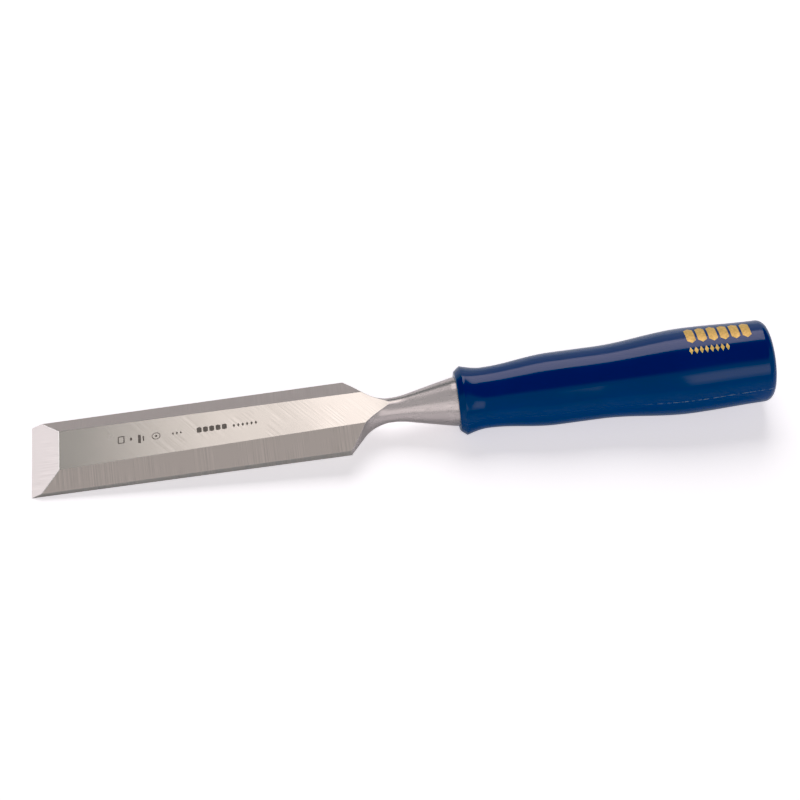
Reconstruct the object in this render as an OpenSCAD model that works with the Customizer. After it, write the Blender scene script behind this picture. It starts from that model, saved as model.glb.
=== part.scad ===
// Bevel-edge bench chisel.
// X runs from the cutting edge to the butt of the handle, Y across the blade,
// Z up out of the bevelled face. The origin is the middle of the cutting edge,
// in the plane of the flat back.

/* [Blade] */
// Length from the cutting edge to the shoulder corners
blade_len = 112.7; // [90:0.1:118]
// Length from the cutting edge to the front of the handle
handle_at = 152.3; // [150:0.1:175]
// Width of the blade
blade_w = 32; // [28:1:38]
// Thickness at the cutting edge, before the cutting bevel is ground
tip_t = 4.7; // [4.2:0.1:5.2]
// Thickness at the shoulder
heel_t = 6.3; // [5.9:0.1:6.6]
// Height of the straight side at the cutting edge
tip_side_h = 1.7; // [1:0.1:2.2]
// Height of the straight side at the shoulder
heel_side_h = 2.6; // [2:0.1:3]
// Angle of the two side bevels
side_bevel = 23; // [20:0.5:26]
// Angle of the cutting bevel
cutting_bevel = 24.5; // [20:0.5:35]

/* [Neck and bolster] */
// Height of the axis of the neck and handle over the flat back
axis_h = 2.6; // [2.2:0.1:3.2]
// Radius of the neck
neck_r = 4.4; // [4:0.1:5]
// Angle at which the shoulder runs in towards the neck
shoulder_angle = 52; // [46:1:58]
// Radius of the hollow between shoulder and neck
shoulder_r = 13.2; // [10:0.1:16]
// Half angle of the cone
cone_angle = 12.5; // [9:0.5:14]
// Radius at which the neck opens into the cone
cone_blend_r = 30; // [20:1:40]
// Length over which the cone rounds off into the bolster
bolster_round = 2; // [1:0.5:8]

/* [Tang] */
// Length of the tang inside the handle
tang_len = 78; // [50:1:95]
// Side of the square tang at the bolster
tang_root = 9; // [7:0.5:10]
// Side of the square tang at its end
tang_end = 5; // [4:0.5:6]

/* [Handle] */
// Length of the handle
handle_len = 113.7; // [100:0.1:130]
// Outer radius of the flat front face
front_r = 10; // [9.5:0.1:10.5]
// Rounding between the front face and the lip
front_round = 1.2; // [0.8:0.1:1.5]
// Radius of the lip's crest
lip_r = 12.4; // [11.8:0.1:13]
// Distance of the lip's crest from the front face
lip_at = 2.3; // [1.8:0.1:3]
// Radius of the waist behind the lip
waist_r = 10.9; // [10.4:0.1:11.4]
// Distance of the waist from the front face
waist_at = 10; // [7:0.1:12]
// Radius of the front swell
swell_r = 13; // [12:0.1:14]
// Where the front swell begins
swell_at = 35.2; // [30:0.1:40]
// Where the front swell ends
swell_end = 50.2; // [44:0.1:54]
// Radius of the rear belly
belly_r = 15.4; // [14.5:0.1:17]
// Distance of the belly's widest point from the front face
belly_at = 83.2; // [72:0.1:88]
// Radius of the butt
butt_r = 14.7; // [13:0.1:16]
// Rounding of the butt's corner
butt_round = 3.2; // [2:0.1:5]
// Slope of the domed end where it meets that rounding
dome_angle = 8; // [4:1:14]

/* [Hidden] */

steel = "silver";
blue = "midnightblue";
fine = 96;              // sides of the round shapes
reach = 40;             // how far a cutting shape runs past the steel
wheel_r = 65;           // wheel that ground the bevelled face, leaving the arch on the neck
back_wheel_r = 25;      // wheel that ground the flat back
grind_past = 7.5;       // how far the ground faces run past the shoulder corners
bevel_past = 8.5;       // and the side bevels
face_run_out = 15;      // length of the arch the face wheel leaves
back_run_out = 10;      // and of the one the back wheel leaves
overlap = 1;            // how far joined shapes run into each other
tang_point = 4;         // length of the tang's point
front_turn = 60;        // how far the rounding behind the front face turns

half_w = blade_w / 2;
side_rise = atan((heel_side_h - tip_side_h) / blade_len);
face_rise = (heel_t - tip_t) / blade_len;
grind_end = blade_len + grind_past;

// The flare from the shoulder corners to the neck: a line, then a hollow arc
flare_r = norm([half_w, axis_h]);
flare_drop = flare_r - neck_r - shoulder_r * (1 - cos(shoulder_angle));
hollow_at = blade_len + flare_drop / tan(shoulder_angle);
neck_at = hollow_at + shoulder_r * sin(shoulder_angle);

// The cone: an arc out of the neck, a straight stretch, and the rounded bolster
cone_from = neck_at + cone_blend_r * sin(cone_angle);
cone_from_r = neck_r + cone_blend_r * (1 - cos(cone_angle));
cone_to = handle_at - bolster_round;
cone_to_r = cone_from_r + (cone_to - cone_from) * tan(cone_angle);

// The handle's butt
dome_r = butt_r - butt_round + butt_round * sin(dome_angle);
butt_at = handle_len - butt_round * cos(dome_angle) - dome_r * tan(dome_angle) / 2;

// Eases from 0 to 1, level at both ends
function ease(t) = (1 - cos(180 * t)) / 2;

// Points [radius, station] of an eased stretch of the handle
function swing(s0, r0, s1, r1, steps) =
    [for (i = [1:steps]) [r0 + (r1 - r0) * ease(i / steps), s0 + (s1 - s0) * i / steps]];

// Turns a [radius, station] outline about the X axis at the height of the handle
module turned(outline) {
    translate([0, 0, axis_h]) rotate([0, 90, 0])
        rotate_extrude($fn = fine) polygon(outline);
}

// Runs an [x, z] outline across the blade
module across(outline) {
    translate([0, reach, 0]) rotate([90, 0, 0])
        linear_extrude(2 * reach) polygon(outline);
}

// Flare, neck and conical bolster
function forging_outline() = concat(
    [[0, blade_len - 2 * overlap],
     [flare_r + 2 * overlap * tan(shoulder_angle), blade_len - 2 * overlap]],
    [for (a = [shoulder_angle:-shoulder_angle / 12:0.1])
        [neck_r + shoulder_r * (1 - cos(a)), neck_at - shoulder_r * sin(a)]],
    [[neck_r, neck_at]],
    [for (a = [cone_angle / 5:cone_angle / 5:cone_angle + 0.01])
        [neck_r + cone_blend_r * (1 - cos(a)), neck_at + cone_blend_r * sin(a)]],
    [for (i = [0:6]) let (u = bolster_round * i / 6)
        [cone_to_r + tan(cone_angle) * (u - u * u / bolster_round / 2), cone_to + u]],
    [[0, handle_at]]);

// Square tang that narrows to its end; the handle is moulded around it
module tang() {
    outline = [
        [handle_at - overlap, tang_root / 2],
        [handle_at, tang_root / 2],
        [handle_at + tang_len - tang_point, tang_end / 2],
        [handle_at + tang_len, tang_end / 5],
        [handle_at + tang_len, -tang_end / 5],
        [handle_at + tang_len - tang_point, -tang_end / 2],
        [handle_at, -tang_root / 2],
        [handle_at - overlap, -tang_root / 2]];
    intersection() {
        translate([0, 0, axis_h]) across(outline);
        translate([0, 0, axis_h - reach / 2]) linear_extrude(reach) polygon(outline);
    }
}

// What the wheels take off above the bevelled face: a plane, then the wheel's run-out
module face_ground_off() {
    end_z = tip_t + face_rise * grind_end;
    across(concat(
        [[-reach, reach], [-reach, tip_t - face_rise * reach]],
        [for (i = [0:10]) let (u = face_run_out * i / 10)
            [grind_end + u, end_z + face_rise * u + u * u / wheel_r / 2]],
        [[grind_end + face_run_out, reach]]));
}

// What the wheels take off below the flat back
module back_ground_off() {
    across(concat(
        [[-reach, -reach], [-reach, 0]],
        [for (i = [0:10]) let (u = back_run_out * i / 10)
            [grind_end + u, -u * u / back_wheel_r / 2]],
        [[grind_end + back_run_out, -reach]]));
}

// What is ground off one side: the side bevel above, and the straight side
module side_ground_off() {
    translate([0, half_w, tip_side_h]) rotate([-side_bevel, -side_rise, 0])
        translate([-reach, -reach, 0])
            cube([blade_len + bevel_past + reach, 2 * reach, reach]);
    translate([-reach, half_w, -reach]) cube([grind_end + reach, reach, 2 * reach]);
}

// One steel forging: blade, shoulder, neck, bolster and tang
module blade() {
    color(steel) union() {
        difference() {
            union() {
                translate([0, -half_w - overlap, -overlap])
                    cube([blade_len - overlap, blade_w + 2 * overlap, heel_t + 2 * overlap]);
                turned(forging_outline());
            }
            face_ground_off();
            back_ground_off();
            side_ground_off();
            mirror([0, 1, 0]) side_ground_off();
            rotate([0, -cutting_bevel, 0])
                translate([-reach, -reach, 0]) cube([2 * reach, 2 * reach, reach]);
        }
        tang();
    }
}

// Front face, lip, waist, two swells and the domed butt
function handle_outline() = concat(
    [[0, 0], [front_r, 0]],
    [for (a = [front_turn / 4:front_turn / 4:front_turn])
        [front_r + front_round * sin(a), front_round * (1 - cos(a))]],
    [[lip_r, lip_at]],
    [for (i = [1:8])
        [waist_r + (lip_r - waist_r) * (1 - sin(90 * i / 8)), lip_at + (waist_at - lip_at) * i / 8]],
    swing(waist_at, waist_r, swell_at, swell_r, 14),
    swing(swell_end, swell_r, belly_at, belly_r, 16),
    swing(belly_at, belly_r, butt_at, butt_r, 12),
    [for (a = [9:9:81])
        [butt_r - butt_round * (1 - cos(a)), butt_at + butt_round * sin(a)]],
    [for (i = [0:5]) let (r = dome_r * (1 - i / 5))
        [r, handle_len - r * r * tan(dome_angle) / dome_r / 2]]);

// One plastic moulding, solid around the tang
module handle() {
    color(blue) difference() {
        translate([handle_at, 0, 0]) turned(handle_outline());
        tang();
    }
}

blade();
handle();
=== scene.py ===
import math
import bpy
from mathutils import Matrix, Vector


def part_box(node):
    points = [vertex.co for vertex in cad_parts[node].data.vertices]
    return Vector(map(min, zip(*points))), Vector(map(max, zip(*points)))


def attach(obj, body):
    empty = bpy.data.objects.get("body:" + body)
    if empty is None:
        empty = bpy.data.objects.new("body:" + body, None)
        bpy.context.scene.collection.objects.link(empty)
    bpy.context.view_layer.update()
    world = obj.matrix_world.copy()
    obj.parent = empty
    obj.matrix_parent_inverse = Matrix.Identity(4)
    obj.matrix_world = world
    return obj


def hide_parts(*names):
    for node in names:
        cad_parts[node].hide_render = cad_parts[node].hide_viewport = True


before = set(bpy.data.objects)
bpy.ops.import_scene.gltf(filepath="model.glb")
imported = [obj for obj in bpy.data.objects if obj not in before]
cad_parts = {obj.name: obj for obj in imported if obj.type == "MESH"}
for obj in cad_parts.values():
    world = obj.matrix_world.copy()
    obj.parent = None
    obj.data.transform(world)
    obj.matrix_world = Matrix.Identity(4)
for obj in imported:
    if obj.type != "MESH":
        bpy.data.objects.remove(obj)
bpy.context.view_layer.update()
mm = 0.001

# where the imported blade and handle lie
bladeLow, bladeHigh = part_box("blade")
handleLow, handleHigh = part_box("handle")
axisHeight = (handleLow[2] + handleHigh[2]) / 2   # centre line of the neck and handle
handleFront = handleLow[0]
handleLength = handleHigh[0] - handleLow[0]
halfWidth = bladeHigh[1]
bladeEnd = bladeHigh[0]                           # end of the hidden tang
print("frame loaded:", sorted(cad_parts))


# working habits: select nothing first, edit, then leave the object at the origin

def deselectAll():
    if bpy.context.object and bpy.context.object.mode == "EDIT":
        bpy.ops.object.mode_set(mode="OBJECT")
    bpy.ops.object.select_all(action="DESELECT")


def makeActive(obj):
    deselectAll()
    obj.select_set(True)
    bpy.context.view_layer.objects.active = obj


def editMesh(obj, kind="VERT", action="SELECT"):
    # opens the mesh for editing with everything, or with "DESELECT" nothing, selected
    makeActive(obj)
    bpy.ops.object.mode_set(mode="EDIT")
    bpy.ops.mesh.select_mode(type=kind)
    bpy.ops.mesh.select_all(action=action)


def leaveEdit():
    bpy.ops.object.mode_set(mode="OBJECT")


def faceOutwards():
    bpy.ops.mesh.select_all(action="SELECT")
    bpy.ops.mesh.normals_make_consistent(inside=False)
    leaveEdit()


def applyPlace(obj):
    makeActive(obj)
    bpy.ops.object.transform_apply(location=True, rotation=True, scale=True)


def applyModifier(obj, kind, **values):
    makeActive(obj)
    modifier = obj.modifiers.new(kind, kind)
    for key, value in values.items():
        setattr(modifier, key, value)
    bpy.ops.object.modifier_apply(modifier=modifier.name)


def combine(obj, tool, operation):
    applyModifier(obj, "BOOLEAN", operation=operation, object=tool, solver="EXACT")
    bpy.data.objects.remove(tool, do_unlink=True)


def selectEdges(obj, test):
    # test gets the two ends of an edge
    editMesh(obj, "EDGE", "DESELECT")
    leaveEdit()
    verts = obj.data.vertices
    for edge in obj.data.edges:
        edge.select = test(verts[edge.vertices[0]].co, verts[edge.vertices[1]].co)
    bpy.ops.object.mode_set(mode="EDIT")


def selectVerts(obj, test):
    editMesh(obj, "VERT", "DESELECT")
    leaveEdit()
    for vert in obj.data.vertices:
        vert.select = test(vert.co)
    bpy.ops.object.mode_set(mode="EDIT")


def turnedPiece(name, outline, sides):
    # a ring is carried along the axis; outline holds (station along X, radius)
    x, r = outline[0]
    deselectAll()
    bpy.ops.mesh.primitive_circle_add(vertices=sides, radius=r, fill_type="NGON",
                                      location=(x, 0, axisHeight), rotation=(0, math.pi / 2, 0))
    obj = bpy.context.object
    obj.name = name
    applyPlace(obj)
    bpy.ops.object.mode_set(mode="EDIT")
    bpy.ops.mesh.select_all(action="SELECT")
    for nextX, nextR in outline[1:]:
        bpy.ops.mesh.extrude_region_move(TRANSFORM_OT_translate={"value": (nextX - x, 0, 0)})
        grow = nextR / r
        bpy.ops.transform.resize(value=(1, grow, grow), center_override=(nextX, 0, axisHeight))
        x, r = nextX, nextR
    faceOutwards()
    return obj


def boxPiece(name, low, high):
    deselectAll()
    centre = [(a + b) / 2 for a, b in zip(low, high)]
    bpy.ops.mesh.primitive_cube_add(size=1, location=centre,
                                    scale=[b - a for a, b in zip(low, high)])
    obj = bpy.context.object
    obj.name = name
    applyPlace(obj)
    return obj


def ease(t):
    return (1 - math.cos(math.pi * t)) / 2


# blade: one forging with ground faces

bladeShape = {
    "length": 112.7 * mm,        # cutting edge to shoulder corners
    "tipThickness": 4.7 * mm,
    "heelThickness": 6.3 * mm,
    "tipSide": 1.7 * mm,         # straight side under the side bevel
    "heelSide": 2.6 * mm,
    "sideBevel": math.radians(23),
    "cuttingBevel": math.radians(24.5),
    "neckRadius": 4.4 * mm,
    "shoulderAngle": math.radians(52),
    "shoulderRadius": 13.2 * mm,
    "coneAngle": math.radians(12.5),
    "coneBlend": 30 * mm,
    "bolsterRound": 2 * mm,
    "bolsterInside": 0.5 * mm,   # the bolster's rim sits in a shallow seat in the handle
    "tangRoot": 9 * mm,
    "tangEnd": 5 * mm,
    "tangPoint": 4 * mm,         # length of the tang's point
    "grindPast": 7.5 * mm,       # how far the ground faces run past the shoulder corners
    "bevelPast": 8.5 * mm,       # and the side bevels
    "wheelRadius": 65 * mm,
    "faceRunOut": 15 * mm,       # length of the arch that the face wheel leaves
    "backWheelRadius": 25 * mm,
    "backRunOut": 10 * mm,
    "wheelReach": 40 * mm,       # how far a wheel's block runs past the steel
    "edgeSoftness": 0.12 * mm,
    "edgeAngle": math.radians(12),
    "keenEdge": 0.3 * mm,        # this near the tip nothing is softened
    "flatArea": 40 * mm * mm,    # faces larger than this are ground flat
    "sides": 160,
}


def forgingOutline():
    # flare, hollow, neck, cone and bolster, as (station along X, radius)
    b = bladeShape
    angle = b["shoulderAngle"]
    flare = math.hypot(halfWidth, axisHeight)
    drop = flare - b["neckRadius"] - b["shoulderRadius"] * (1 - math.cos(angle))
    hollowAt = b["length"] + drop / math.tan(angle)
    neckAt = hollowAt + b["shoulderRadius"] * math.sin(angle)
    run = 2 * mm
    points = [(b["length"] - run, flare + run * math.tan(angle))]
    for i in range(8):                                     # straight part of the flare
        points.append((b["length"] + (hollowAt - b["length"]) * i / 8,
                       flare - drop * i / 8))
    for i in range(25):                                    # hollow
        a = angle * (1 - i / 24)
        points.append((neckAt - b["shoulderRadius"] * math.sin(a),
                       b["neckRadius"] + b["shoulderRadius"] * (1 - math.cos(a))))
    for i in range(1, 9):                                  # neck opening into the cone
        a = b["coneAngle"] * i / 8
        points.append((neckAt + b["coneBlend"] * math.sin(a),
                       b["neckRadius"] + b["coneBlend"] * (1 - math.cos(a))))
    coneX, coneR = points[-1]
    roundAt = handleFront - b["bolsterRound"]
    slope = math.tan(b["coneAngle"])
    roundR = coneR + (roundAt - coneX) * slope
    for i in range(1, 9):
        points.append((coneX + (roundAt - coneX) * i / 8, coneR + (roundR - coneR) * i / 8))
    for i in range(1, 9):
        u = b["bolsterRound"] * i / 8
        points.append((roundAt + u, roundR + slope * (u - u * u / b["bolsterRound"] / 2)))
    points.append((handleFront + b["bolsterInside"], points[-1][1]))
    return points


def tangTool(name):
    # square taper; the handle's socket is the same shape
    root = bladeShape["tangRoot"] / 2
    end = bladeShape["tangEnd"] / 2
    x, half = handleFront + 2 * mm, root
    tang = boxPiece(name, (handleFront - 1 * mm, -root, axisHeight - root), (x, root, axisHeight + root))
    selectVerts(tang, lambda co: co.x > handleFront)
    bpy.ops.mesh.select_mode(type="FACE")
    for nextX, nextHalf in ((bladeEnd - bladeShape["tangPoint"], end), (bladeEnd, 0.4 * end)):
        bpy.ops.mesh.extrude_region_move(TRANSFORM_OT_translate={"value": (nextX - x, 0, 0)})
        shrink = nextHalf / half
        bpy.ops.transform.resize(value=(1, shrink, shrink), center_override=(nextX, 0, axisHeight))
        x, half = nextX, nextHalf
    leaveEdit()
    return tang


def wheelTool(name, profile, depth):
    # what a grinding wheel sweeps off: a strip along the profile, then thickened
    reach = 30 * mm
    (x0, z0), (x1, z1) = profile[:2]
    middle = (x0 + x1) / 2
    deselectAll()
    bpy.ops.mesh.primitive_plane_add(size=1, location=(middle, 0, 0))
    obj = bpy.context.object
    obj.name = name
    obj.scale = (x1 - x0, 2 * reach, 1)
    applyPlace(obj)
    for side, z in ((-1, z0), (1, z1)):
        selectVerts(obj, lambda co: (co.x - middle) * side > 0)
        bpy.ops.transform.translate(value=(0, 0, z))
        leaveEdit()
    selectEdges(obj, lambda a, b: min(a.x, b.x) > middle)
    x, z = x1, z1
    for nextX, nextZ in profile[2:]:
        bpy.ops.mesh.extrude_region_move(
            TRANSFORM_OT_translate={"value": (nextX - x, 0, nextZ - z)})
        x, z = nextX, nextZ
    bpy.ops.mesh.select_mode(type="FACE")
    bpy.ops.mesh.select_all(action="SELECT")
    bpy.ops.mesh.extrude_region_move(TRANSFORM_OT_translate={"value": (0, 0, depth)})
    faceOutwards()
    return obj


def runOut(x, z, slope, length, radius, steps):
    # the arch that a wheel of this radius leaves where it lifts off
    points = []
    for i in range(1, steps + 1):
        u = length * i / steps
        points.append((x + u, z + slope * u + u * u / radius / 2))
    return points


def tiltedBlock(name, corner, size, offset, turn):
    # a block whose own origin is the corner that it turns about
    deselectAll()
    bpy.ops.mesh.primitive_cube_add(size=1, location=[o + s / 2 for o, s in zip(offset, size)],
                                    scale=size)
    obj = bpy.context.object
    obj.name = name
    applyPlace(obj)
    obj.rotation_euler = turn
    obj.location = corner
    applyPlace(obj)
    return obj


def makeBlade():
    b = bladeShape
    length = b["length"]
    far = b["wheelReach"]
    blade = turnedPiece("bladeSteel", forgingOutline(), b["sides"])
    bar = boxPiece("bar", (0, -halfWidth - 1 * mm, -1 * mm),
                   (length - 1 * mm, halfWidth + 1 * mm, b["heelThickness"] + 1 * mm))
    combine(blade, bar, "UNION")

    rise = (b["heelThickness"] - b["tipThickness"]) / length
    grindEnd = length + b["grindPast"]
    endZ = b["tipThickness"] + grindEnd * rise
    profile = [(-far, b["tipThickness"] - far * rise), (grindEnd, endZ)]
    profile += runOut(grindEnd, endZ, rise, b["faceRunOut"], b["wheelRadius"], 24)
    combine(blade, wheelTool("faceWheel", profile, 20 * mm), "DIFFERENCE")
    profile = [(-far, 0), (grindEnd, 0)]
    profile += runOut(grindEnd, 0, 0, b["backRunOut"], -b["backWheelRadius"], 16)
    combine(blade, wheelTool("backWheel", profile, -30 * mm), "DIFFERENCE")

    sideRise = math.atan((b["heelSide"] - b["tipSide"]) / length)
    for side in (1, -1):
        size = (length + b["bevelPast"] + far, 2 * far, far)
        offset = (-far, -far, 0)
        block = tiltedBlock("bevelWheel", (0, side * halfWidth, b["tipSide"]), size, offset,
                            (-side * b["sideBevel"], -sideRise, 0))
        combine(blade, block, "DIFFERENCE")
        low = (-far, halfWidth if side > 0 else -far, -far)
        high = (grindEnd, far if side > 0 else -halfWidth, far)
        combine(blade, boxPiece("sideWheel", low, high), "DIFFERENCE")
    block = tiltedBlock("edgeWheel", (0, 0, 0), (2 * far, 2 * far, far), (-far, -far, 0),
                        (0, -b["cuttingBevel"], 0))
    combine(blade, block, "DIFFERENCE")
    combine(blade, tangTool("tang"), "UNION")
    editMesh(blade)
    bpy.ops.mesh.remove_doubles(threshold=0.004 * mm)
    bpy.ops.mesh.dissolve_limited(angle_limit=math.radians(0.2))
    leaveEdit()
    # the wheels meet in a cluster of points at each shoulder corner: one point is enough
    selectVerts(blade, lambda co: abs(co.x - length) < 0.1 * mm and abs(co.y) > halfWidth - 0.1 * mm
                and co.z < 0.1 * mm)
    bpy.ops.mesh.remove_doubles(threshold=0.1 * mm)
    leaveEdit()
    return blade


def softenEdges(obj):
    # rounds the crisp edges, apart from the cutting edge and what the handle hides
    editMesh(obj, "EDGE", "DESELECT")
    bpy.ops.mesh.edges_select_sharp(sharpness=bladeShape["edgeAngle"])
    leaveEdit()
    verts = obj.data.vertices
    for edge in obj.data.edges:
        x = max(verts[i].co.x for i in edge.vertices)
        edge.select = edge.select and bladeShape["keenEdge"] < x < handleFront - 1 * mm
    bpy.ops.object.mode_set(mode="EDIT")
    bpy.ops.mesh.bevel(offset=bladeShape["edgeSoftness"], segments=2, affect="EDGES",
                       clamp_overlap=False)
    leaveEdit()


def shadeBlade(obj):
    # large ground faces stay flat, and only the narrow strips between them turn the light
    makeActive(obj)
    bpy.ops.object.shade_smooth_by_angle(angle=math.radians(30))
    editMesh(obj, "FACE", "DESELECT")
    leaveEdit()
    for face in obj.data.polygons:
        face.select = face.area > bladeShape["flatArea"]
    print("ground faces:", sum(face.select for face in obj.data.polygons))
    bpy.ops.object.mode_set(mode="EDIT")
    bpy.ops.mesh.faces_shade_flat()
    leaveEdit()
    applyModifier(obj, "WEIGHTED_NORMAL", mode="FACE_AREA", weight=50, thresh=0.01, keep_sharp=True)


blade = makeBlade()
print("blade cut:", len(blade.data.polygons), "faces")
softenEdges(blade)
shadeBlade(blade)
print("blade edges softened:", len(blade.data.polygons), "faces")


# handle: one moulding

handleShape = {
    "seatRadius": 8.9 * mm,     # shallow seat round the bolster's rim
    "seatDepth": 0.5 * mm,
    "frontRadius": 10 * mm,
    "frontRound": 1.2 * mm,
    "frontTurn": math.radians(60),
    "lip": (2.3 * mm, 12.4 * mm),    # place behind the front face, radius
    "waist": (10 * mm, 10.9 * mm),
    "swell": (35.2 * mm, 13 * mm),
    "swellEnd": (50.2 * mm, 13 * mm),
    "belly": (83.2 * mm, 15.4 * mm),
    "buttRadius": 14.7 * mm,
    "buttRound": 3.2 * mm,
    "domeAngle": math.radians(8),
    "sides": 160,
    "seamTilt": math.radians(-5),
    "seamRadius": 9 * mm,       # the seam shows only outside this radius
    "seamWidth": 0.11 * mm,
    "seamHeight": 0.045 * mm,
    # where the seam stands up: from, to behind the front face in mm, share of its height
    "seamRaised": ((10, 60, 0.3), (64, 74, 0.8), (75, 79, 1.0), (80.5, 96, 0.7), (97, 104, 1.0),
                   (104.5, 108, 0.8)),
}


def handleOutline():
    # seat, front face, lip, waist, swells and domed butt, as (station along X, radius)
    h = handleShape
    x0 = handleFront
    cap = h["seatRadius"]
    points = [(x0 + h["seatDepth"], cap), (x0 + 0.08 * mm, cap), (x0, cap + 0.08 * mm),
              (x0, h["frontRadius"])]
    for i in range(1, 6):
        a = h["frontTurn"] * i / 5
        points.append((x0 + h["frontRound"] * (1 - math.cos(a)),
                       h["frontRadius"] + h["frontRound"] * math.sin(a)))
    lipX, lipR = h["lip"]
    chamferX, chamferR = points[-1]
    for t in (0.45, 0.86):
        points.append((chamferX + (x0 + lipX - chamferX) * t, chamferR + (lipR - chamferR) * t))
    points.append((x0 + lipX, lipR - 0.03 * mm))
    waistX, waistR = h["waist"]
    for i in range(13):
        t = (i + 0.6) / 12.6
        points.append((x0 + lipX + (waistX - lipX) * t,
                       waistR + (lipR - waistR) * (1 - math.sin(math.pi / 2 * t))))
    dome = h["domeAngle"]
    domeR = h["buttRadius"] - h["buttRound"] + h["buttRound"] * math.sin(dome)
    buttX = handleLength - h["buttRound"] * math.cos(dome) - domeR * math.tan(dome) / 2
    for start, end, steps in ((h["waist"], h["swell"], 20), (h["swell"], h["swellEnd"], 8),
                              (h["swellEnd"], h["belly"], 24),
                              (h["belly"], (buttX, h["buttRadius"]), 18)):
        for i in range(1, steps + 1):
            points.append((x0 + start[0] + (end[0] - start[0]) * i / steps,
                           start[1] + (end[1] - start[1]) * ease(i / steps)))
    for i in range(1, 11):
        a = (math.pi / 2 - dome) * i / 10
        points.append((x0 + buttX + h["buttRound"] * math.sin(a),
                       h["buttRadius"] - h["buttRound"] * (1 - math.cos(a))))
    for share in (0.85, 0.65, 0.45, 0.25, 0.08):
        r = domeR * share
        points.append((x0 + handleLength - r * r * math.tan(dome) / domeR / 2, r))
    return points


def atSeam(co):
    return abs(co.z - axisHeight) < 1e-6 and abs(co.y) > handleShape["seamRadius"]


def makeHandle():
    h = handleShape
    handle = turnedPiece("handleMoulding", handleOutline(), h["sides"])
    # mould seam: two lines along the handle, bevelled to a narrow strip and raised
    selectEdges(handle, lambda a, b: atSeam(a) and atSeam(b) and abs(a.x - b.x) > 1e-7)
    bpy.ops.mesh.bevel(offset=h["seamWidth"], segments=2, affect="EDGES")
    leaveEdit()
    for start, end, height in h["seamRaised"]:
        low, high = handleFront + start * mm, handleFront + end * mm
        selectVerts(handle, lambda co: atSeam(co) and low < co.x < high)
        bpy.ops.transform.shrink_fatten(value=h["seamHeight"] * height)
        leaveEdit()
    combine(handle, tangTool("socket"), "DIFFERENCE")
    # the moulding sits on the tang turned a little about its axis
    handle.location = (0, 0, -axisHeight)
    applyPlace(handle)
    handle.rotation_euler = (h["seamTilt"], 0, 0)
    handle.location = (0, 0, axisHeight)
    applyPlace(handle)
    makeActive(handle)
    bpy.ops.object.shade_smooth_by_angle(angle=math.radians(35))
    return handle


def onSeam(centre):
    # true for the narrow strips that the bevelled seam lines left
    angle = math.atan2(centre.z - axisHeight, centre.y) - handleShape["seamTilt"]
    radius = math.hypot(centre.y, centre.z - axisHeight)
    off = abs(math.sin(angle)) * radius
    return radius > handleShape["seamRadius"] and off < 1.05 * handleShape["seamWidth"]


handle = makeHandle()
print("handle made:", len(handle.data.polygons), "faces")


# marks: plain shapes in place of lettering

goldShape = {
    "bold": {"from": 234.5 * mm, "to": 258.5 * mm, "count": 6, "fill": 0.78,
             "angle": math.radians(76.5), "height": 8.5 * mm},
    "small": {"from": 234.5 * mm, "to": 249.5 * mm, "count": 8, "fill": 0.8,
              "angle": math.radians(104.3), "height": 2.9 * mm},
    "proud": 0.015 * mm,
    "thickness": 0.02 * mm,
}
etchShape = {
    "sizeBox": (32.7 * mm, 0.7 * mm, 2.4 * mm, 3.3 * mm),      # place along X, Y, width, height
    "sizeDash": (36.2 * mm, 0.5 * mm, 0.8 * mm, 1.3 * mm),
    "sizeBar": (39.2 * mm, 0.0 * mm, 1.0 * mm, 3.8 * mm),
    "sizeSlim": (40.6 * mm, 0.0 * mm, 0.5 * mm, 2.2 * mm),
    "ring": (45.1 * mm, 0.3 * mm, 3.1 * mm),
    "batch": (51.1 * mm, 0.3 * mm, 1.4 * mm, 3),               # first, Y, pitch, count
    "bold": (59.3 * mm, 70.5 * mm, 0.2 * mm, 2.6 * mm, 5),     # from, to, Y, height, count
    "small": (72.0 * mm, 81.4 * mm, 0.0 * mm, 1.7 * mm, 6),
    "line": 0.38 * mm,            # of the hollow box
    "ringLine": 0.3 * mm,
    "proud": 0.006 * mm,
    "thickness": 0.012 * mm,
}


def flatShape(sides, x, y, width, height, corner=0.0):
    # a flat regular outline stretched to size, or with a corner radius a rounded bar
    deselectAll()
    if corner:
        bpy.ops.mesh.primitive_plane_add(size=1)
    else:
        bpy.ops.mesh.primitive_circle_add(vertices=sides, radius=0.5, fill_type="NGON")
    obj = bpy.context.object
    obj.scale = (width, height, 1)
    obj.location = (x, y, 0)
    applyPlace(obj)
    if corner:
        editMesh(obj)
        bpy.ops.mesh.bevel(offset=corner, segments=3, affect="VERTICES")
        leaveEdit()
    return obj


def hollowOut(obj, line):
    editMesh(obj, "FACE")
    bpy.ops.mesh.inset(thickness=line)
    bpy.ops.mesh.delete(type="FACE")
    leaveEdit()
    return obj


def rowOf(shape, start, end, y, height, count, fill):
    pitch = (end - start) / count
    return [shape(start + pitch * (i + 0.5), y, pitch * fill, height) for i in range(count)]


def lozenge(x, y, width, height):
    return flatShape(4, x, y, width, height)


def spindle(x, y, width, height):
    # six-sided: straight flanks and pointed ends
    obj = flatShape(6, x, y, width / math.cos(math.pi / 6), height)
    selectVerts(obj, lambda co: abs(co.y - y) < 0.4 * height)
    bpy.ops.transform.resize(value=(1, 1.45, 1), center_override=(x, y, 0))
    leaveEdit()
    return obj


def joined(name, parts):
    deselectAll()
    for part in parts:
        part.select_set(True)
    bpy.context.view_layer.objects.active = parts[0]
    bpy.ops.object.join()
    obj = bpy.context.object
    obj.name = name
    return obj


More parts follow.
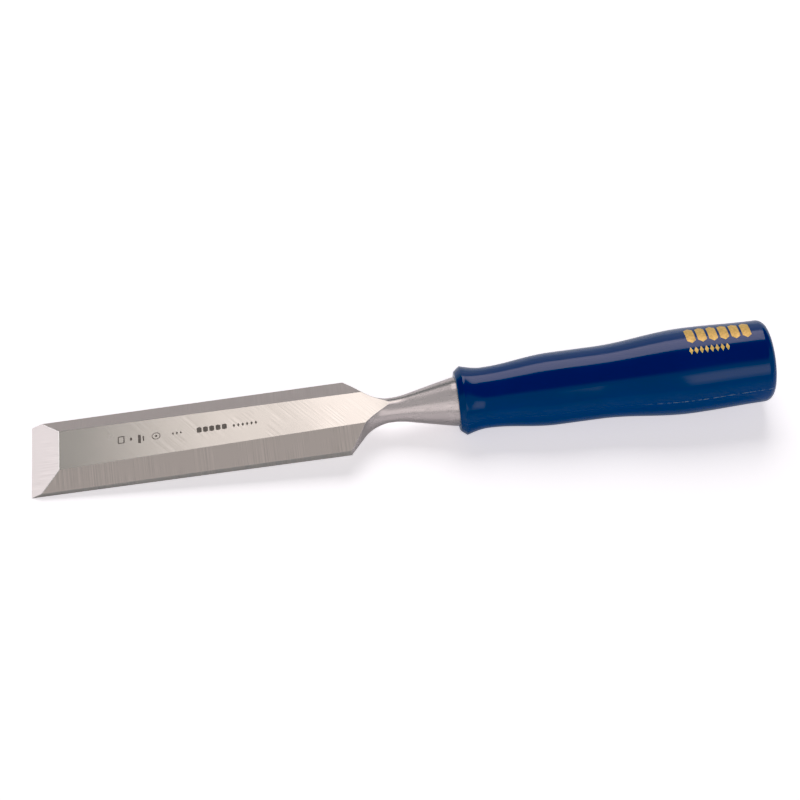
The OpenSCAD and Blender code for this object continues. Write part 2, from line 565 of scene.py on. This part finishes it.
def layOn(obj, target, place, turn, shape, cuts):
    # drops a flat drawing along its own -Z onto the target and gives it a little body
    editMesh(obj)
    bpy.ops.mesh.quads_convert_to_tris()
    for _ in range(cuts):
        bpy.ops.mesh.subdivide(number_cuts=1)
    leaveEdit()
    obj.rotation_euler = turn
    obj.location = place
    bpy.context.view_layer.update()
    applyModifier(obj, "SHRINKWRAP", target=target, wrap_method="PROJECT", use_project_z=True,
                  use_negative_direction=True, use_positive_direction=False,
                  offset=shape["proud"])
    applyModifier(obj, "SOLIDIFY", thickness=shape["thickness"], offset=0)
    applyPlace(obj)
    editMesh(obj)
    faceOutwards()


def makeGoldRow(name, row, shape):
    parts = rowOf(shape, row["from"], row["to"], 0, row["height"], row["count"], row["fill"])
    obj = joined(name, parts)
    turn = row["angle"] - math.pi / 2
    away = 30 * mm
    place = (0, -away * math.sin(turn), axisHeight + away * math.cos(turn))
    layOn(obj, handle, place, (turn, 0, 0), goldShape, 4)
    return obj


goldBold = makeGoldRow("goldRow", goldShape["bold"], spindle)
goldSmall = makeGoldRow("goldRowSmall", goldShape["small"], lozenge)


def makeEtching():
    e = etchShape
    parts = [hollowOut(flatShape(4, *e["sizeBox"], corner=0.3 * mm), e["line"])]
    for name in ("sizeDash", "sizeBar", "sizeSlim"):
        parts.append(flatShape(4, *e[name], corner=0.1 * mm))
    x, y, across = e["ring"]
    parts.append(hollowOut(flatShape(40, x, y, across, across), e["ringLine"]))
    parts.append(flatShape(24, x, y, 0.3 * across, 0.3 * across))
    x, y, pitch, count = e["batch"]
    for i in range(count):
        parts.append(flatShape(4, x + i * pitch, y, 0.5 * pitch, 1.4 * mm))
    x0, x1, y, height, count = e["bold"]
    parts += rowOf(spindle, x0, x1, y, height, count, 0.78)
    x0, x1, y, height, count = e["small"]
    parts += rowOf(lozenge, x0, x1, y, height, count, 0.6)
    obj = joined("etchedMarks", parts)
    layOn(obj, blade, (0, 0, 20 * mm), (0, 0, 0), e, 1)
    return obj


etching = makeEtching()
print("marks laid on:", len(goldBold.data.polygons), len(goldSmall.data.polygons),
      len(etching.data.polygons), "faces")


# materials

def newMaterial(name, **sockets):
    material = bpy.data.materials.new(name)
    material.use_nodes = True
    shader = material.node_tree.nodes["Principled BSDF"]
    for key, value in sockets.items():
        shader.inputs[key.replace("_", " ")].default_value = value
    return material, material.node_tree, shader


def addNode(tree, kind, settings=None, **sockets):
    node = tree.nodes.new(kind)
    for key, value in (settings or {}).items():
        setattr(node, key, value)
    for key, value in sockets.items():
        node.inputs[key.replace("_", " ")].default_value = value
    return node


def startGroup(name, inputs, outputs):
    tree = bpy.data.node_groups.new(name, "ShaderNodeTree")
    for label, kind in inputs:
        tree.interface.new_socket(label, in_out="INPUT", socket_type=kind)
    for label, kind in outputs:
        tree.interface.new_socket(label, in_out="OUTPUT", socket_type=kind)
    return tree, tree.nodes.new("NodeGroupInput"), tree.nodes.new("NodeGroupOutput")


def useGroup(tree, group, vector, **sockets):
    node = tree.nodes.new("ShaderNodeGroup")
    node.node_tree = group
    tree.links.new(vector, node.inputs["Vector"])
    for key, value in sockets.items():
        node.inputs[key].default_value = value
    return node


def inMillimetres(tree, turn=0.0):
    # the piece's own coordinates in millimetres, turned about Z
    place = addNode(tree, "ShaderNodeTexCoord")
    scale = addNode(tree, "ShaderNodeMapping", Scale=(1000, 1000, 1000), Rotation=(0, 0, turn))
    tree.links.new(place.outputs["Object"], scale.inputs["Vector"])
    return scale.outputs["Vector"]


def mathNode(tree, operation, first, second):
    node = addNode(tree, "ShaderNodeMath", {"operation": operation})
    for index, value in enumerate((first, second)):
        if hasattr(value, "is_linked"):
            tree.links.new(value, node.inputs[index])
        else:
            node.inputs[index].default_value = value
    return node.outputs[0]


def rangeNode(tree, value, low, high, toLow, toHigh):
    node = addNode(tree, "ShaderNodeMapRange", From_Min=low, From_Max=high, To_Min=toLow, To_Max=toHigh)
    tree.links.new(value, node.inputs["Value"])
    return node.outputs["Result"]


def mixColours(tree, share, first, second):
    node = addNode(tree, "ShaderNodeMix", {"data_type": "RGBA"})
    tree.links.new(share, node.inputs[0])
    for index, value in ((6, first), (7, second)):
        if hasattr(value, "is_linked"):
            tree.links.new(value, node.inputs[index])
        else:
            node.inputs[index].default_value = (*value, 1)
    return node.outputs[2]


def smudgesOver(tree, vector, scale):
    return useGroup(tree, smudgeGroup, vector, Scale=scale).outputs["Value"]


def addBump(tree, shader, height, strength, distance):
    bump = addNode(tree, "ShaderNodeBump", Strength=strength, Distance=distance)
    tree.links.new(height, bump.inputs["Height"])
    tree.links.new(bump.outputs["Normal"], shader.inputs["Normal"])


def makeLineGroup():
    # grinding lines: fine along X, long along Y, gathered in patches
    tree, start, end = startGroup("grindLines",
                                  (("Vector", "NodeSocketVector"), ("Spacing", "NodeSocketFloat"),
                                   ("Length", "NodeSocketFloat")),
                                  (("Lines", "NodeSocketFloat"), ("Patches", "NodeSocketFloat")))
    split = addNode(tree, "ShaderNodeSeparateXYZ")
    tree.links.new(start.outputs["Vector"], split.inputs[0])
    fine = mathNode(tree, "DIVIDE", split.outputs["X"], start.outputs["Spacing"])
    longY = mathNode(tree, "DIVIDE", split.outputs["Y"], start.outputs["Length"])
    longZ = mathNode(tree, "DIVIDE", split.outputs["Z"], start.outputs["Length"])
    squeezed = addNode(tree, "ShaderNodeCombineXYZ")
    for index, value in enumerate((fine, longY, longZ)):
        tree.links.new(value, squeezed.inputs[index])
    lines = addNode(tree, "ShaderNodeTexNoise", Scale=1.0, Detail=3.0, Roughness=0.62)
    tree.links.new(squeezed.outputs[0], lines.inputs["Vector"])
    patches = addNode(tree, "ShaderNodeTexNoise", Scale=0.11, Detail=2.0, Roughness=0.5)
    tree.links.new(start.outputs["Vector"], patches.inputs["Vector"])
    mask = rangeNode(tree, patches.outputs[0], 0.45, 0.62, 0.08, 1.7)
    centred = mathNode(tree, "SUBTRACT", lines.outputs[0], 0.5)
    strong = mathNode(tree, "MULTIPLY", centred, mask)
    tree.links.new(mathNode(tree, "ADD", strong, 0.5), end.inputs["Lines"])
    tree.links.new(mask, end.inputs["Patches"])
    return tree


def makeSmudgeGroup():
    # soft uneven patches, as left by handling and wiping
    tree, start, end = startGroup("smudges",
                                  (("Vector", "NodeSocketVector"), ("Scale", "NodeSocketFloat")),
                                  (("Value", "NodeSocketFloat"),))
    noise = addNode(tree, "ShaderNodeTexNoise", Detail=4.0, Roughness=0.55, Distortion=0.4)
    tree.links.new(start.outputs["Vector"], noise.inputs["Vector"])
    tree.links.new(start.outputs["Scale"], noise.inputs["Scale"])
    tree.links.new(rangeNode(tree, noise.outputs[0], 0.3, 0.7, 0.0, 1.0), end.inputs["Value"])
    return tree


lineGroup = makeLineGroup()
smudgeGroup = makeSmudgeGroup()

steelLook = {
    # dark, light, roughness low and high, spacing and length of the lines in mm, their turn, relief
    # sideBevel and farBevelPaintedLight are one steel given a colour of its own for each side of the
    # blade: painted light and shade
    "sideBevel": ((0.60, 0.50, 0.465), (0.735, 0.62, 0.58), 0.36, 0.44, 0.4, 60.0, 0.0, 0.45),
    "farBevelPaintedLight": ((0.64, 0.54, 0.52), (0.68, 0.575, 0.555), 0.38, 0.44, 0.62, 60.0, 0.0, 0.2),
    "faceLand": ((0.67, 0.59, 0.54), (0.74, 0.66, 0.61), 0.22, 0.28, 0.4, 90.0, 2.5, 0.035),
    # straightSideShaded is the same ground steel made darker: painted shade
    "straightSideShaded": ((0.44, 0.38, 0.36), (0.50, 0.44, 0.415), 0.37, 0.44, 0.62, 60.0, 0.0, 0.2),
    "cuttingBevel": ((0.62, 0.555, 0.555), (0.69, 0.625, 0.625), 0.32, 0.40, 0.6, 20.0, 1.96, 0.12),
    "flatBack": ((0.55, 0.51, 0.48), (0.63, 0.59, 0.56), 0.25, 0.36, 0.5, 60.0, 0.2, 0.2),
    # ridgeHighlight is a pale copy of the steel on the softened edge between cutting bevel and land: a
    # painted highlight
    "ridgeHighlight": ((0.93, 0.88, 0.87), (0.97, 0.93, 0.92), 0.22, 0.30, 0.6, 20.0, 1.35, 0.05),
    "forged": ((0.60, 0.515, 0.51), (0.72, 0.62, 0.615), 0.24, 0.30, 6.0, 0.7, 0.0, 0.06),
}


def steelMaterial(name, dark, light, roughLow, roughHigh, spacing, length, turn, relief):
    material, tree, shader = newMaterial(name, Metallic=1.0)
    vector = inMillimetres(tree, turn)
    lines = useGroup(tree, lineGroup, vector, Spacing=spacing, Length=length)
    smudge = smudgesOver(tree, vector, 0.09)
    value = rangeNode(tree, lines.outputs["Lines"], 0.32, 0.68, 0.0, 1.0)
    tree.links.new(mixColours(tree, value, dark, light), shader.inputs["Base Color"])
    blend = mathNode(tree, "ADD", mathNode(tree, "MULTIPLY", value, 0.6),
                     mathNode(tree, "MULTIPLY", smudge, 0.4))
    tree.links.new(rangeNode(tree, blend, 0, 1, roughHigh, roughLow), shader.inputs["Roughness"])
    addBump(tree, shader, lines.outputs["Lines"], relief, 0.02 * mm)
    return material


steel = {name: steelMaterial(name, *look) for name, look in steelLook.items()}

plasticLook = {
    "colour": (0.0006, 0.0155, 0.215),
    "shade": (0.0005, 0.013, 0.19),
    "roughness": (0.11, 0.16),
    "ior": 1.49,
    # pale colour for the seam strips: a painted highlight
    "seamHighlight": (0.22, 0.28, 0.42),
    "seamHighlightFrom": (216, 226),        # along X in mm, where the painted seam highlight fades in
}


def makePlastic():
    look = plasticLook
    material, tree, shader = newMaterial("bluePlastic", IOR=look["ior"])
    vector = inMillimetres(tree)
    value = smudgesOver(tree, vector, 0.05)
    tree.links.new(mixColours(tree, value, look["shade"], look["colour"]), shader.inputs["Base Color"])
    tree.links.new(rangeNode(tree, value, 0, 1, *look["roughness"]), shader.inputs["Roughness"])
    addBump(tree, shader, smudgesOver(tree, vector, 0.3), 0.25, 0.01 * mm)
    return material


def makeSeamPlastic():
    # the same plastic, painted pale here and there along the mould seam: a painted highlight of the
    # raised seam
    look = plasticLook
    material, tree, shader = newMaterial("bluePlasticSeam", IOR=look["ior"], Roughness=0.4)
    split = addNode(tree, "ShaderNodeSeparateXYZ")
    tree.links.new(inMillimetres(tree), split.inputs[0])
    breaks = addNode(tree, "ShaderNodeTexNoise", {"noise_dimensions": "1D"}, Scale=0.55, Detail=3.0)
    tree.links.new(split.outputs["X"], breaks.inputs["W"])
    toButt = rangeNode(tree, split.outputs["X"], *look["seamHighlightFrom"], 0.0, 1.0)
    broken = rangeNode(tree, breaks.outputs[0], 0.42, 0.58, 0.0, 1.0)
    pale = mathNode(tree, "MULTIPLY", broken, toButt)
    # pale marks where the painted highlight shows along the seam
    tree.links.new(mixColours(tree, pale, look["colour"], look["seamHighlight"]), shader.inputs["Base Color"])
    return material


markLook = {
    # shade, colour, roughness from and to, metallic, smudges per mm
    "goldFoil": ((0.58, 0.37, 0.065), (0.84, 0.55, 0.14), 0.45, 0.3, 0.25, 1.1),
    "etchedDark": ((0.165, 0.11, 0.095), (0.28, 0.205, 0.185), 0.6, 0.45, 0.6, 2.5),
}


def markMaterial(name):
    shade, colour, roughFrom, roughTo, metallic, scale = markLook[name]
    material, tree, shader = newMaterial(name, Metallic=metallic)
    value = smudgesOver(tree, inMillimetres(tree), scale)
    tree.links.new(mixColours(tree, value, shade, colour), shader.inputs["Base Color"])
    tree.links.new(rangeNode(tree, value, 0, 1, roughFrom, roughTo), shader.inputs["Roughness"])
    return material


plastic = makePlastic()
foil = markMaterial("goldFoil")
etchInk = markMaterial("etchedDark")


def steelFor(n, c):
    # which finish, or which copy with painted light or shade, a face of the blade has, told by its normal
    # and centre
    end = bladeShape["length"]
    if c.x >= end + 4 * mm:
        arch = n.z > 0.93 and abs(n.y) < 0.05 and c.x < end + 20 * mm and c.z > 5.5 * mm
        return "faceLand" if arch else "forged"
    if n.z > 0.8 and c.x < 14 * mm and n.x < -0.06:
        # the softened strip between cutting bevel and land gets the pale copy: a painted highlight
        return "cuttingBevel" if n.x < -0.38 else "ridgeHighlight"
    if n.z > 0.985:
        return "faceLand"
    onSide = abs(n.y) > 0.25 and c.x < end + 0.1 * mm or abs(n.x) < 0.1 and n.z > 0.5
    if n.z < -0.9 and not onSide:
        return "flatBack"
    if onSide or c.x < end - 1 * mm:
        if abs(n.y) > 0.5:
            # the straight sides take a darker copy of the steel: painted shade
            return "straightSideShaded"
        # near and far bevels take different copies of one steel: painted light and shade
        return "farBevelPaintedLight" if n.y > 0 else "sideBevel"
    return "forged"


def paintBlade():
    order = ["forged", "faceLand", "sideBevel", "farBevelPaintedLight", "straightSideShaded", "cuttingBevel", "ridgeHighlight",
             "flatBack"]
    blade.data.materials.clear()
    for name in order:
        blade.data.materials.append(steel[name])
    for face in blade.data.polygons:
        face.material_index = order.index(steelFor(face.normal, face.center))


paintBlade()
for obj, material in ((handle, plastic), (goldBold, foil), (goldSmall, foil), (etching, etchInk)):
    obj.data.materials.clear()
    obj.data.materials.append(material)
handle.data.materials.append(makeSeamPlastic())
for face in handle.data.polygons:
    face.material_index = 1 if onSeam(face.center) else 0
print("materials ready")


# hand the pieces over to the frame

for obj, slot in ((blade, "blade_steel"), (etching, "blade_steel"), (handle, "handle_plastic"),
                  (goldBold, "handle_plastic"), (goldSmall, "handle_plastic")):
    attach(obj, "root")
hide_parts("blade")
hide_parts("handle")


# table: passes through the cutting edge and under the handle's belly

studio = {
    "washPower": 31.0,
    "floorDark": (0.80, 0.795, 0.81),
    "floorLight": (0.81, 0.80, 0.815),
    "floorGlow": 0.58,                  # extra white that only the camera sees
    "bounceGlow": 0.15,
    "floorTint": (1.0, 0.955, 0.985),
    "plasticTint": (1.0, 0.85, 0.92),   # of the strips and patches seen in the plastic
    "backSky": ((0.0, 0.6), (0.17, 0.6), (0.24, 0.06), (0.75, 0.06), (0.95, 0.03)),
    "frontSky": ((0.0, 0.5), (0.70, 0.5), (0.80, 0.03), (1.0, 0.03)),
    "blackPoint": (0.026, 0.0, 0.0),
}

bellyAt = handleFront + handleShape["belly"][0]
tilt = math.atan2(-handleLow[2], bellyAt)
deselectAll()
bpy.ops.mesh.primitive_plane_add(size=8)
floor = bpy.context.object
floor.name = "floor"
floor.rotation_euler = (0, tilt, 0)
applyPlace(floor)


def makeFloorMaterial():
    # the camera sees a little extra white; everything else sees the lit table
    material, tree, shader = newMaterial("paleTable", Roughness=0.7, Specular_IOR_Level=0.0,
                                         Emission_Color=(*studio["floorTint"], 1))
    smudge = smudgesOver(tree, inMillimetres(tree), 0.004)
    tree.links.new(mixColours(tree, smudge, studio["floorDark"], studio["floorLight"]),
                   shader.inputs["Base Color"])
    path = addNode(tree, "ShaderNodeLightPath")
    glow = rangeNode(tree, path.outputs["Is Camera Ray"], 0, 1, studio["bounceGlow"], studio["floorGlow"])
    tree.links.new(glow, shader.inputs["Emission Strength"])
    return material


floor.data.materials.append(makeFloorMaterial())


# lights: each reaches only the pieces it is meant for
stripLook = {
    # strips at the back: low and high angle over the table, distance, left and right end, radiance
    "leftStripSteel": (35, 69.5, 1.05, -0.5, -0.09, 0.19),
    "mainStripSteel": (35, 69.5, 1.05, -0.09, 0.45, 1.2),
    "mainStripPlastic": (35, 69.5, 1.05, -0.04, 0.75, 2.6),
    "lowStripSteel": (13, 34, 1.05, -0.2, 0.6, 0.12),
    "lowStripPlastic": (13, 34, 1.05, 0.0, 0.8, 0.65),
}
boxLook = {
    # aimed at, direction it comes from, distance, size, radiance
    "tipCard": ((0, 0, 0), (-0.68, 0.63, 0.37), 1.0, (0.85, 0.8), 1.25),
    "topFill": ((0.07, 0, 0), (-0.03, -0.13, 0.99), 1.0, (1.6, 0.85), 0.49),
    "frontFill": ((0.1, 0, 0), (0.0, -0.81, 0.58), 1.0, (1.6, 0.98), 0.43),
    "coneStrip": ((0.14, 0, 0), (-0.3, 0.53, 0.79), 0.08, (0.03, 0.046), 0.3),
    "frontPatch": ((0.25, 0, 0), (0.3, -0.84, 0.41), 1.0, (0.36, 0.34), 0.45),
    "frontPatchTall": ((0.25, 0, 0), (0.3, -0.84, 0.38), 1.0, (0.42, 0.56), 0.45),
    "markLight": ((0.245, 0, 0.015), (0, 0.25, 0.97), 0.8, (0.5, 0.5), 1.85),
}
white = (1, 1, 1)


def softbox(name, place, target, size, radiance, colour=white):
    data = bpy.data.lights.new(name, "AREA")
    data.shape = "RECTANGLE"
    data.size, data.size_y = size
    data.energy = radiance * math.pi * size[0] * size[1]
    data.color = colour
    light = bpy.data.objects.new(name, data)
    light.location = place
    direction = Vector(target) - Vector(place)
    light.rotation_euler = direction.to_track_quat("-Z", "Y").to_euler()
    bpy.context.scene.collection.objects.link(light)
    return light


def lightOnly(light, receivers):
    group = bpy.data.collections.new(light.name + "Receivers")
    for obj in receivers:
        group.objects.link(obj)
    light.light_linking.receiver_collection = group


def boxAt(name, receivers, colour=white):
    # a softbox some way off its target; the camera doesn't see it
    target, direction, away, size, radiance = boxLook[name]
    unit = Vector(direction).normalized()
    light = softbox(name, Vector(target) + unit * away, target, size, radiance, colour)
    lightOnly(light, receivers)
    light.visible_camera = False


def backStrip(name, receivers, colour=white):
    low, high, away, left, right, radiance = stripLook[name]
    middle = math.radians((low + high) / 2)
    tall = 2 * away * math.tan(math.radians((high - low) / 2))
    along = (left + right) / 2
    place = (along, away * math.cos(middle), away * math.sin(middle))
    light = softbox(name, place, (along, 0, 0), (right - left, tall), radiance, colour)
    lightOnly(light, receivers)


steelOnly = (blade, etching)
plasticOnly = (handle, goldBold, goldSmall)
backStrip("leftStripSteel", steelOnly)
backStrip("mainStripSteel", steelOnly)
backStrip("mainStripPlastic", plasticOnly, studio["plasticTint"])
backStrip("lowStripSteel", steelOnly)
backStrip("lowStripPlastic", plasticOnly, studio["plasticTint"])
for name in ("tipCard", "topFill", "frontFill", "coneStrip"):
    boxAt(name, steelOnly)
for name in ("frontPatch", "frontPatchTall"):
    boxAt(name, plasticOnly, studio["plasticTint"])
boxAt("markLight", (goldBold, goldSmall))
wash = softbox("tableWash", (0.3, 1.35, 1.7), (0.15, 0, 0), (1.5, 1.5), 1.0)
wash.data.energy = studio["washPower"]
lightOnly(wash, [floor])


def makeWorld():
    # bright low at the back, dark overhead, soft light from the front
    world = bpy.data.worlds.new("studio")
    bpy.context.scene.world = world
    world.use_nodes = True
    tree = world.node_tree
    place = addNode(tree, "ShaderNodeTexCoord")
    split = addNode(tree, "ShaderNodeSeparateXYZ")
    tree.links.new(place.outputs["Generated"], split.inputs[0])
    ramps = []
    for stops in (studio["backSky"], studio["frontSky"]):
        ramp = addNode(tree, "ShaderNodeValToRGB")
        while len(ramp.color_ramp.elements) < len(stops):
            ramp.color_ramp.elements.new(0.5)
        for element, (position, value) in zip(ramp.color_ramp.elements, stops):
            element.position = position
            element.color = (value, value, value, 1)
        tree.links.new(split.outputs["Z"], ramp.inputs[0])
        ramps.append(ramp)
    side = rangeNode(tree, split.outputs["Y"], -0.06, 0.06, 1.0, 0.0)
    colour = mixColours(tree, side, ramps[0].outputs[0], ramps[1].outputs[0])
    tree.links.new(colour, tree.nodes["Background"].inputs["Color"])


makeWorld()

cameraLook = {
    "place": (0.10608, -0.41582, 0.50071),
    "turn": (40.087, 3.139, -7.313),    # degrees
    "lens": 82.04,
}
cameraData = bpy.data.cameras.new("camera")
cameraData.sensor_width = 36
cameraData.lens = cameraLook["lens"]
camera = bpy.data.objects.new("camera", cameraData)
camera.location = cameraLook["place"]
camera.rotation_euler = [math.radians(angle) for angle in cameraLook["turn"]]
bpy.context.scene.collection.objects.link(camera)
bpy.context.scene.camera = camera
view = bpy.context.scene.view_settings
view.view_transform = "Standard"
view.use_curve_mapping = True
view.curve_mapping.black_level = studio["blackPoint"]
view.curve_mapping.update()
print("studio ready")
